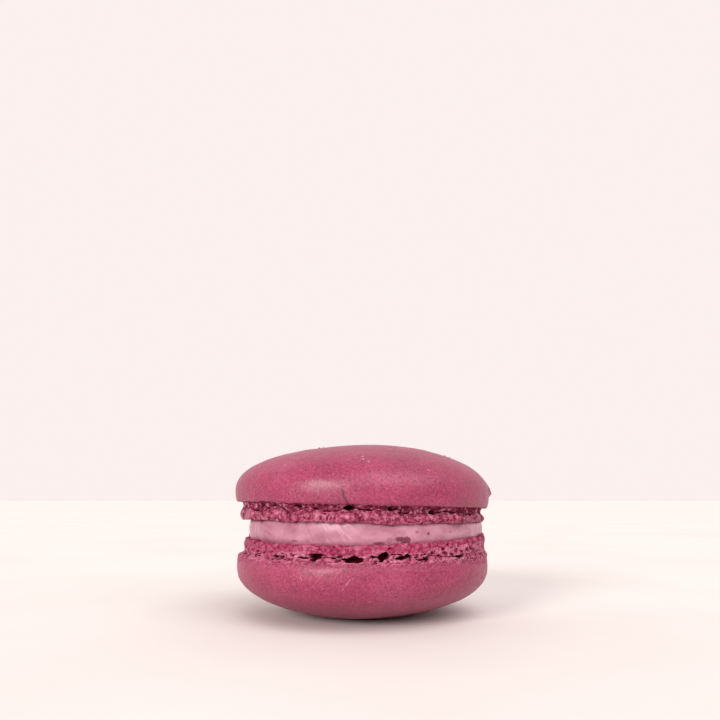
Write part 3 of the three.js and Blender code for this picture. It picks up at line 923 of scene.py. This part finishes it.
def creeping_crumb(sizes, groove):
    """Where the crumb creeps over the rim: out of the cap, along its tuck and round the rim by a quarter
    turn, then in towards the groove."""
    up = np.linspace(sizes.creep, 0, POINTS["creep"])
    tuck = sizes.rim_tuck * (1 - up / sizes.widest) ** 2
    over = CREEP_EDGE * (smoothstep(sizes.creep, sizes.creep * 0.3, up) - 0.5)
    wall = np.stack([sizes.cap_radius - tuck + over, sizes.foot_height + up], axis=1)
    turn = np.linspace(0, math.pi / 2, POINTS["rim"])[1:]
    quarter = wall[-1] - [CREEP_EDGE, 0] + CREEP_EDGE * np.stack([np.cos(turn), -np.sin(turn)], axis=1)
    inward = np.linspace(quarter[-1], [groove + GROOVE_EASE, quarter[-1, 1]], POINTS["creep"])[1:]
    return [*wall, *quarter, *inward]


def foot_profile(sizes):
    """From inside the cap to the middle of the flat side: over the rim, where the crumb creeps; in to
    the groove; down a side that bulges by a sine and swings in and out by a double sine; round a quarter
    turn at the lip; and back along the flat side to the axis."""
    groove = sizes.cap_radius - sizes.groove
    lip = sizes.cap_radius - sizes.lip
    high = sizes.foot_height
    creeps = sizes.creep > 0
    hidden = [[0, high + FOOT_ROOT], [groove - ROOT_INSET["top"], high + FOOT_ROOT]]
    plain = [[groove - ROOT_INSET["bottom"], high + GROOVE_EASE]]
    start = creeping_crumb(sizes, groove) if creeps else plain
    share = np.linspace(SIDE_START[creeps], 1 - LIP_EDGE / high, POINTS["side"])
    shown = share.clip(0)
    side = groove + (lip - groove) * share + sizes.foot_bulge * np.sin(math.pi * shown)
    side -= sizes.foot_wave * np.sin(TURN * shown)
    side += GROOVE_EASE * smoothstep(*GROOVE_ZONE, share) * creeps
    turn = np.linspace(0, math.pi / 2, POINTS["lip"])[1:]
    end = side[-1]
    rounding = np.stack([end - LIP_EDGE * (1 - np.cos(turn)), LIP_EDGE * (1 - np.sin(turn))], axis=1)
    flat = np.linspace([end - LIP_EDGE, 0], [end - FLAT_ZONE[0], 0], POINTS["lip"])[1:]
    side = np.stack([side, high * (1 - share)], axis=1)
    return np.concatenate([hidden, start, side, rounding, flat, [[0, 0]]])


def foot_relief(azimuth, base, sizes, caves, pits):
    """Relief of a foot, how far down its rings each point is, its drop towards the buttercream, and its
    colour attributes: lumps, then crumb that is torn where slow noise says so and calmer along the lip
    and over the rim, then pits, caves and the crack."""
    seed = sizes.seed
    height = base[..., 2]
    from_rim = sizes.foot_height - height
    share = np.clip(from_rim / sizes.foot_height, 0, 1)
    inside = sizes.cap_radius - sizes.lip - np.linalg.norm(base[..., :2], axis=-1)
    shown = smoothstep(*FLAT_ZONE, inside)
    drop = lip_hang(azimuth, share, inside, sizes)
    dropped = base - drop[..., None] * [0, 0, 1]
    over = smoothstep(0, -EDGE_FADE, from_rim)
    buried = smoothstep(-EDGE_FADE, -sizes.creep - HAIR, from_rim)
    edge = sizes.lip_band * (1 + wave(outward(azimuth) * sizes.cap_radius, BAND_WAVE, seed + 18))
    rough = bell(past(azimuth, ROUGH_SIDE["azimuth"]), 0, math.radians(ROUGH_SIDE["reach"]))
    edge -= ROUGH_SIDE["depth"] * rough
    band = smoothstep(edge + EDGE_FADE, edge - EDGE_FADE, height) * (sizes.lip_band > 0)
    torn = smoothstep(-TEAR_EDGE, TEAR_EDGE, noise(base / TEAR_SIZE, seed + 6) + sizes.torn)
    torn = torn * (1 - band) * (1 - over)
    crumb, ridge = crumb_relief(dropped, torn, seed)
    crack, line = crack_field(azimuth, from_rim, sizes)
    crack = smoothstep(0, FULL_DEPTH["crack"], crack) * shown
    # Painted shadow under the upper rim: it darkens the crumb above the crack line
    neck = smoothstep(line + NECK_FADE, line - NECK_FADE, from_rim) * (sizes.creep <= 0)
    cave = cave_field(azimuth, from_rim, base, sizes, caves)
    pit = cave_field(azimuth, from_rim, base, sizes, pits)
    # The caves' depth is real relief; their colour attribute below also paints shade in them
    hollow = smoothstep(0, FULL_DEPTH["cave"], cave)
    holes = np.maximum(pores(base, torn, seed), smoothstep(0, FULL_DEPTH["pit"], pit)) * (1 - hollow)
    frill = sum(
        rule["strength"] * bell(field, rule["middle"], rule["reach"])
        for field, rule in ((cave, CAVE_FRILL), (pit, PIT_FRILL))
    )
    calm = (1 - CALM["band"] * band) * (1 - CALM["over"] * over) * (1 - buried)
    relief = wave(base, LUMP, seed) * np.sqrt(np.sin(math.pi * share).clip(0))
    relief += crumb * calm
    relief += FRILL_HEIGHT * frill - PORE_DEPTH * holes
    relief = shown * relief - CAVE_DEPTH * hollow - CRACK_DEPTH * crack * (1 - hollow)
    # Colour attributes: ridge paints a highlight, also on the frills round caves and pits; the next one
    # paints shade in the caves, the crack and the pores
    attributes = {
        "ridge": np.clip(ridge + SHADE["frill"] * frill, 0, 1),
        "hollow": np.clip(hollow + SHADE["crack"] * crack + SHADE["holes"] * holes, 0, 1),
        "band": band,
        "neck": neck * smoothstep(*NECK_RIDGE, ridge),
        "over": over,
    }
    return relief, share, drop, attributes


class MACARON_OT_add_feet(bpy.types.Operator):
    """Add the two feet of burst crumb"""

    bl_idname = "macaron.add_feet"
    bl_label = "Add Feet"

    def execute(self, context):
        settings = context.scene.macaron
        material = crumb_material(settings.colours)
        for name, stands, sizes, listed, pits in (
            ("bottom", True, settings.lower, LOWER_CAVES, LOWER_PITS),
            ("top", False, settings.upper, UPPER_CAVES, UPPER_PITS),
        ):
            profile = foot_profile(sizes)
            spacing = np.full(len(profile), FOOT_SPACING)
            spacing[[0, 1, -1]] = HIDDEN_SPACING
            rows, normal = spaced(profile, spacing)
            azimuth, base = grid(rows, FOOT_STEPS)
            from_rim = sizes.foot_height - base[..., 2]
            relief, share, drop, attributes = foot_relief(
                azimuth, base, sizes, all_caves(listed, sizes), metres(pits)
            )
            points = displaced(base, azimuth, normal, relief, sizes)
            points[..., 0] += sizes.foot_shift * smoothstep(*SHIFT_ZONE, from_rim)
            fade = smoothstep(WANDER_FADE["foot"], 0, np.abs(from_rim))
            points[..., 2] += rim_wander(azimuth, sizes) * fade
            points[..., 2] -= drop
            placed = place_shell(points, sizes, share, stands)
            add_piece(f"{name}_foot", placed[None], attributes, material, f"{name}_shell")
        return {"FINISHED"}


def cream_marks(azimuth, points, sizes):
    """How strongly each point is marked by a crumb or a smear: 1 inside an ellipse whose edge is bent by
    noise, faded over a narrow rim."""
    bend = sum(wave(points, each, n) for n, each in enumerate(MARK_EDGE, 51))
    marked = np.zeros(points.shape[:-1])
    for degrees, middle, width, height, strength in metres(CREAM_MARKS):
        across = past(azimuth, degrees) * sizes.radius / (width / 2)
        up = (points[..., 2] - BASE_HEIGHT - middle) / (height / 2)
        outside = across**2 + up**2 - 1 + bend
        marked = np.maximum(marked, strength * smoothstep(MARK_FADE, -MARK_FADE, outside))
    return marked


def knife_strokes(azimuth, height, around, sizes):
    """Height of the fine slanting ridges that the knife left: the peaks of noise that is stretched along
    the slant, by the listed azimuth and, elsewhere, where slow noise says so."""
    slant = math.radians(STROKES["slant"])
    arc = past(azimuth, 0) * sizes.radius
    along = (arc * math.cos(slant) + height * math.sin(slant)) / STROKES["long"]
    across = (height * math.cos(slant) - arc * math.sin(slant)) / STROKES["apart"]
    peaks = noise(np.stack([along, across, np.zeros_like(along)], axis=-1), 44)
    here = bell(past(azimuth, STROKES["azimuth"]), 0, math.radians(STROKES["reach"]))
    elsewhere = STROKES["elsewhere"] * smoothstep(*STROKES["patches"], noise(around / PATCH_SIZE, 45))
    peaks = np.clip(peaks * 2 - 0.5, 0, 1)
    return peaks * np.maximum(here, elsewhere) * smoothstep(0, STROKES["fade"], height)


def filling_relief(azimuth, base, settings):
    """Relief of the buttercream's wall, and its colour attributes: slow waves, level streaks that bend a
    little, the knife's strokes and the fold."""
    sizes = settings.filling
    height = base[..., 2]
    share = np.clip(height / FILLING_HEIGHT, 0, 1)
    around = np.broadcast_to(outward(azimuth) * sizes.radius, base.shape)
    slow = around / sizes.wave_size + share[..., None] * [0, 0, 1]
    relief = sizes.wave_height * noise(slow, settings.lower.seed)
    bent = height + wave(around, STREAK_WAVE, 42)
    streaks = noise(np.concatenate([around[..., :2], bent[..., None]], axis=-1) / STREAK_SIZE, 43)
    strokes = knife_strokes(azimuth, height, around, sizes)
    relief += sizes.streak * streaks + sizes.stroke * strokes
    relief -= sizes.fold * bell(past(azimuth, FOLD["azimuth"]), 0, math.radians(FOLD["reach"]))
    return relief, {"share": share, "streak": streaks, "stroke": strokes}


class MACARON_OT_add_filling(bpy.types.Operator):
    """Add the disc of buttercream between the shells"""

    bl_idname = "macaron.add_filling"
    bl_label = "Add Filling"

    def execute(self, context):
        settings = context.scene.macaron
        sizes = settings.filling
        share = np.linspace(1, 0, POINTS["side"])
        swelling = np.sqrt(np.sin(math.pi * share).clip(0))
        wall = np.stack([sizes.radius + sizes.bulge * swelling, share * FILLING_HEIGHT], axis=1)
        profile = np.concatenate([[[0, FILLING_HEIGHT]], wall, [[0, 0]]])
        spacing = np.full(len(profile), FILLING_SPACING)
        spacing[[0, -1]] = HIDDEN_SPACING
        rows, _ = spaced(profile, spacing)
        azimuth, base = grid(rows, FILLING_STEPS)
        relief, attributes = filling_relief(azimuth, base, settings)
        reach = (np.linalg.norm(base[..., :2], axis=-1) / sizes.radius)[..., None]
        points = base + (outward(azimuth) * relief[..., None] + [sizes.shift, 0, 0]) * reach
        low = lower_flat_side(settings.lower) + rise(settings.lower, points) - sizes.sink
        leaning = points[..., :2] @ np.array(settings.upper.lean)
        high = settings.upper.flat_side + leaning + rise(settings.upper, points) + sizes.sink
        points[..., 2] = low + (high - low) * attributes["share"]
        marks = cream_marks(azimuth, points, sizes)
        lift = MARK_RELIEF * marks * (1 + noise(points / MARK_GRAIN, 53))
        points += outward(azimuth) * lift[..., None]
        attributes["mark"] = marks
        cream = buttercream_material(settings.colours)
        add_piece("buttercream", points[None], attributes, cream, "filling")
        return {"FINISHED"}


def add_node(tree, kind, inputs=None, output=0, **settings):
    """Adds a node with its settings and gives one of its outputs. An input that is a socket is linked,
    and any other is set."""
    node = tree.nodes.new("ShaderNode" + kind)
    for key, value in settings.items():
        setattr(node, key, value)
    for key, value in (inputs or {}).items():
        if isinstance(value, bpy.types.NodeSocket):
            tree.links.new(value, node.inputs[key])
        else:
            node.inputs[key].default_value = value
    return node.outputs[output] if node.outputs else None


def new_material(name, *attributes):
    """An empty node material, its tree, its Object coordinates, and the shape's attributes that it reads."""
    material = bpy.data.materials.new(name)
    material.use_nodes = True
    tree = material.node_tree
    tree.nodes.clear()
    place = add_node(tree, "TexCoord", None, "Object")
    read = [add_node(tree, "Attribute", None, "Fac", attribute_name=key) for key in attributes]
    return material, tree, place, read


def laid_over(tree, body, *layers):
    """Lays colours over the body's colour, one after the other. A layer is its colour, the value that it
    follows, where that value starts it and where it has risen to its share, and that share. The start may
    be the larger one."""
    for layer, value, low, high, most in layers:
        limits = dict(zip(LIMITS, (low, high, 0.0, most)))
        share = add_node(tree, "MapRange", {"Value": value} | limits)
        body = add_node(tree, "Mix", {0: share, 6: body, 7: layer}, 2, data_type="RGBA")
    return body


def finished(material, tree, body, grain, settings, strength, depth):
    """Closes a material: its colour, its grain as bump, and the constants of its shader."""
    bump = add_node(tree, "Bump", {"Height": grain, "Strength": strength, "Distance": depth})
    shader = add_node(tree, "BsdfPrincipled", {"Base Color": body, "Normal": bump} | settings)
    add_node(tree, "OutputMaterial", {"Surface": shader})
    return material


def skin_colour(tree, colours, place):
    """The colour of the baked skin, and its powdery grain: deep and pale patches of 8 mm and deep ones of
    1.6 mm; a grain between deep and pale; and specks of almond skin, 0.2 to 0.4 mm wide, about one in each
    1.1 mm. Real almond flour is finer than the grain's 0.33 mm, which is as coarse as it needs to show."""
    broad, mottle, powder = (
        add_node(tree, "TexNoise", {"Vector": place, "Scale": 1 / size, "Detail": detail})
        for size, detail in ((8 * MM, 3.0), (1.6 * MM, 3.0), (0.33 * MM, 2.0))
    )
    specks = add_node(tree, "TexVoronoi", {"Vector": place, "Scale": 1 / (1.1 * MM)})
    body = laid_over(
        tree,
        colours.skin,
        (colours.skin_dark, broad, 0.55, 0.3, 0.35),
        (colours.skin_pale, broad, 0.52, 0.7, 0.5),
        (colours.skin_dark, mottle, 0.5, 0.25, 0.45),
        (colours.skin_dark, powder, 0.5, 0.25, 0.9),
        (colours.skin_pale, powder, 0.5, 0.75, 1.0),
        (colours.speck_and_painted_crack_shade, specks, 0.19, 0.1, 0.8),
    )
    return body, powder


def crumb_colour(tree, colours, place, ridge):
    """The colour of the crumb: painted shade in creases and a painted highlight on ridges, with a grain of
    0.25 mm over both.
    """
    grain = add_node(tree, "TexNoise", {"Vector": place, "Scale": 1 / (0.25 * MM), "Detail": 2.0})
    return laid_over(
        tree,
        colours.crumb,
        # Painted shade in the creases and a painted highlight on the ridges, by the ridge attribute
        (colours.crease, ridge, 0.5, 0.15, 1.0),
        (colours.ridge, ridge, 0.5, 0.95, 0.85),
        (colours.crease, grain, 0.5, 0.25, 0.6),
        (colours.ridge, grain, 0.5, 0.75, 0.5),
    )


def meringue_material(colours):
    """Baked almond meringue skin: matte and powdery, of fine ground almond, with specks of almond skin.
    Its smooth crust gives a broad soft highlight, which ends where crumb clings to the rim."""
    names = ("ridge", "crumbly", "crack")
    material, tree, place, (ridge, crumbly, crack) = new_material("baked_meringue_skin", *names)
    body, powder = skin_colour(tree, colours, place)
    clinging = crumb_colour(tree, colours, place, ridge)
    # Clinging crumb brings the crumb's painted shade and highlight; the crack attribute lays the painted
    # shade of the hair crack
    body = laid_over(tree, body, (clinging, crumbly, 0.0, 1.0, 0.8), (colours.speck_and_painted_crack_shade, crack, 0.0, 0.6, 1.0))
    limits = dict(zip(LIMITS, (0.0, 0.4, 0.44, 0.7)))
    roughness = add_node(tree, "MapRange", {"Value": crumbly} | limits)
    gloss = {"Roughness": roughness, "Specular IOR Level": 0.75}
    return finished(material, tree, body, powder, MERINGUE | gloss, strength=0.4, depth=0.05 * MM)


def crumb_material(colours):
    """Baked almond meringue crumb: airy and rough, with a faint sugary gloss on its thin ridges, which carry
    a painted highlight; painted shade of dark wine lies in its caves, crack and pores, and painted shadow
    in the groove under the upper rim."""
    names = ("ridge", "hollow", "band", "neck", "over")
    material, tree, place, (ridge, hollow, band, neck, over) = new_material("baked_meringue_crumb", *names)
    crumb = crumb_colour(tree, colours, place, ridge)
    skin, powder = skin_colour(tree, colours, place)
    body = laid_over(
        tree,
        crumb,
        (skin, band, 0.0, 1.0, 0.6),
        (skin, over, 0.0, 1.0, 0.85),
        # Painted shadow under the upper rim, then painted shade in the caves, the crack and the pores
        (colours.neck, neck, 0.0, 1.0, 0.55),
        (colours.hollow, hollow, 0.0, 1.0, 1.0),
    )
    sunken = add_node(tree, "Math", {0: hollow, 1: neck}, operation="MAXIMUM")
    standing = add_node(tree, "Math", {0: ridge, 1: sunken}, operation="SUBTRACT")
    standing = add_node(tree, "Math", {0: standing, 1: over}, operation="MAXIMUM")
    limits = dict(zip(LIMITS, (0.2, 0.8, 0.0, 0.6)))
    gloss = add_node(tree, "MapRange", {"Value": standing} | limits)
    gloss = {"Roughness": 0.48, "Specular IOR Level": gloss}
    return finished(material, tree, body, powder, MERINGUE | gloss, strength=0.6, depth=0.08 * MM)


def almond_material(colours):
    """Blanched almond, ground: ivory slivers that the batter has tinted, with a faint oily gloss."""
    material, tree, place, _ = new_material("blanched_almond")
    fibre = add_node(tree, "TexNoise", {"Vector": place, "Scale": 1 / (0.3 * MM), "Detail": 2.0})
    body = laid_over(tree, colours.sliver, (colours.skin_pale, fibre, 0.5, 0.3, 0.5))
    gloss = {"Roughness": 0.6, "IOR": 1.46}
    return finished(material, tree, body, fibre, gloss, strength=0.4, depth=0.05 * MM)


def buttercream_material(colours):
    """Buttercream spread with a palette knife: fat and sugar, so a satin gloss over a soft, cloudy body."""
    names = ("share", "streak", "stroke", "mark")
    material, tree, place, (share, streak, stroke, mark) = new_material("pink_buttercream", *names)
    broad, smear = (
        add_node(tree, "TexNoise", {"Vector": place, "Scale": 1 / size, "Detail": 3.0})
        for size in (3 * MM, 0.9 * MM)
    )
    body = laid_over(
        tree,
        colours.cream,
        (colours.cream_smear_and_highlight, broad, 0.35, 0.7, 0.8),
        (colours.cream_smear_and_highlight, streak, 0.0, 0.8, 0.4),
        # Paler along the knife's strokes: painted highlight on their ridges
        (colours.cream_smear_and_highlight, stroke, 0.0, 0.6, 0.8),
        # Darker towards the lower edge: painted shade
        (colours.cream_painted_shade, share, 0.24, 0.04, 0.55),
        (colours.mark, mark, 0.0, 1.0, 0.9),
    )
    return finished(material, tree, body, smear, BUTTERCREAM, strength=0.3, depth=0.1 * MM)


def floor_material(settings):
    """Honed pale stone: matte, with clouds of a slightly deeper tone."""
    material, tree, place, _ = new_material("honed_pale_stone")
    clouds = add_node(tree, "TexNoise", {"Vector": place, "Scale": 1 / (60 * MM), "Detail": 4.0})
    body = laid_over(tree, settings.floor, (settings.floor_deep, clouds, 0.4, 0.7, 0.5))
    gloss = {"Roughness": 0.75, "Specular IOR Level": 0.3}
    return finished(material, tree, body, clouds, gloss, strength=0.1, depth=0.1 * MM)


def add_surroundings(settings):
    """A warm white world, the same from every side to the eye. Its light is even from the horizon up to
    OPEN_SKY, darkens from there to straight above, and is weaker behind the photograph's camera."""
    world = bpy.data.worlds.new("pale_surroundings")
    world.use_nodes = True
    tree = world.node_tree
    tree.nodes.clear()
    direction = add_node(tree, "TexCoord", None, "Generated")
    shares = []
    for axis, limits in (
        ("Z", (OPEN_SKY, 1.0, 1.0, settings.overhead)),
        ("Y", (*BEHIND_EDGE, settings.behind, 1.0)),
    ):
        value = add_node(tree, "SeparateXYZ", {"Vector": direction}, axis)
        shares.append(add_node(tree, "MapRange", {"Value": value} | dict(zip(LIMITS, limits))))
    light = add_node(tree, "Math", dict(enumerate(shares)), operation="MULTIPLY")
    seen = add_node(tree, "LightPath", None, "Is Camera Ray")
    strength = add_node(tree, "Math", {0: light, 1: seen}, operation="MAXIMUM")
    background = add_node(tree, "Background", {"Color": settings.surroundings, "Strength": strength})
    add_node(tree, "OutputWorld", {"Surface": background})
    return world


class MACARON_OT_add_stage(bpy.types.Operator):
    """Add the pale floor, the soft studio light and the camera"""

    bl_idname = "macaron.add_stage"
    bl_label = "Add Stage"

    def execute(self, context):
        scene = context.scene
        settings = scene.macaron.stage
        half = FLOOR_SIZE / 2
        corners = [(x, y, 0) for x, y in ((-half, -half), (half, -half), (half, half), (-half, half))]
        floor = bpy.data.meshes.new("floor")
        floor.from_pydata(corners, [], [(0, 1, 2, 3)])
        floor.materials.append(floor_material(settings))
        floor_object = bpy.data.objects.new("floor", floor)
        scene.world = add_surroundings(settings)
        lamps = []
        rows = zip(LIGHTS, settings.strength, settings.spread)
        for (name, azimuth, elevation, tint), strength, spread in rows:
            light = bpy.data.lights.new(name, "SUN")
            light.energy = strength
            light.angle = spread
            light.color = tint
            lamps.append(bpy.data.objects.new(name, light))
            lamps[-1].rotation_euler = (math.pi / 2 - math.radians(elevation), 0, math.radians(azimuth))
        camera = bpy.data.cameras.new("camera")
        camera.sensor_width = SENSOR_WIDTH
        camera.lens = SENSOR_WIDTH * FOCAL_PIXELS / FRAME_PIXELS
        camera.shift_y = SHIFT
        camera.clip_start = NEAREST
        camera.clip_end = 2 * FLOOR_SIZE
        pitch = math.atan((HORIZON_PIXEL - FRAME_PIXELS / 2 - SHIFT * FRAME_PIXELS) / FOCAL_PIXELS)
        camera_object = bpy.data.objects.new("camera", camera)
        camera_object.location = (-settings.aside, -settings.distance, settings.height)
        camera_object.rotation_euler = (math.pi / 2 + pitch, 0, 0)
        for each in (floor_object, *lamps, camera_object):
            scene.collection.objects.link(each)
        scene.camera = camera_object
        scene.view_settings.view_transform = "Standard"
        return {"FINISHED"}


class MACARON_PT_sidebar(bpy.types.Panel):
    """Sizes, colours and the buttons that add each group of pieces"""

    bl_idname = "MACARON_PT_sidebar"
    bl_label = "Macaron"
    bl_space_type = "VIEW_3D"
    bl_region_type = "UI"
    bl_category = "Macaron"

    def draw(self, context):
        settings = context.scene.macaron
        for group in (settings.lower, settings.upper, settings.filling, settings.colours, settings.stage):
            box = self.layout.box()
            for key in group.bl_rna.properties.keys():
                if key not in ("rna_type", "name"):
                    box.prop(group, key)
        for operator in OPERATORS:
            self.layout.operator(operator.bl_idname)


OPERATORS = (MACARON_OT_add_caps, MACARON_OT_add_feet, MACARON_OT_add_filling, MACARON_OT_add_stage)
GROUPS = (LowerShellSizes, UpperShellSizes, FillingSizes, Colours, StageSettings, MacaronSettings)
CLASSES = (*GROUPS, *OPERATORS, MACARON_PT_sidebar)


def register():
    for cls in CLASSES:
        bpy.utils.register_class(cls)
    bpy.types.Scene.macaron = bpy.props.PointerProperty(type=MacaronSettings)


def unregister():
    del bpy.types.Scene.macaron
    for cls in reversed(CLASSES):
        bpy.utils.unregister_class(cls)


def main():
    register()
    bpy.ops.macaron.add_caps()
    bpy.ops.macaron.add_feet()
    bpy.ops.macaron.add_filling()
    bpy.ops.macaron.add_stage()


if __name__ == "__main__":
    main()
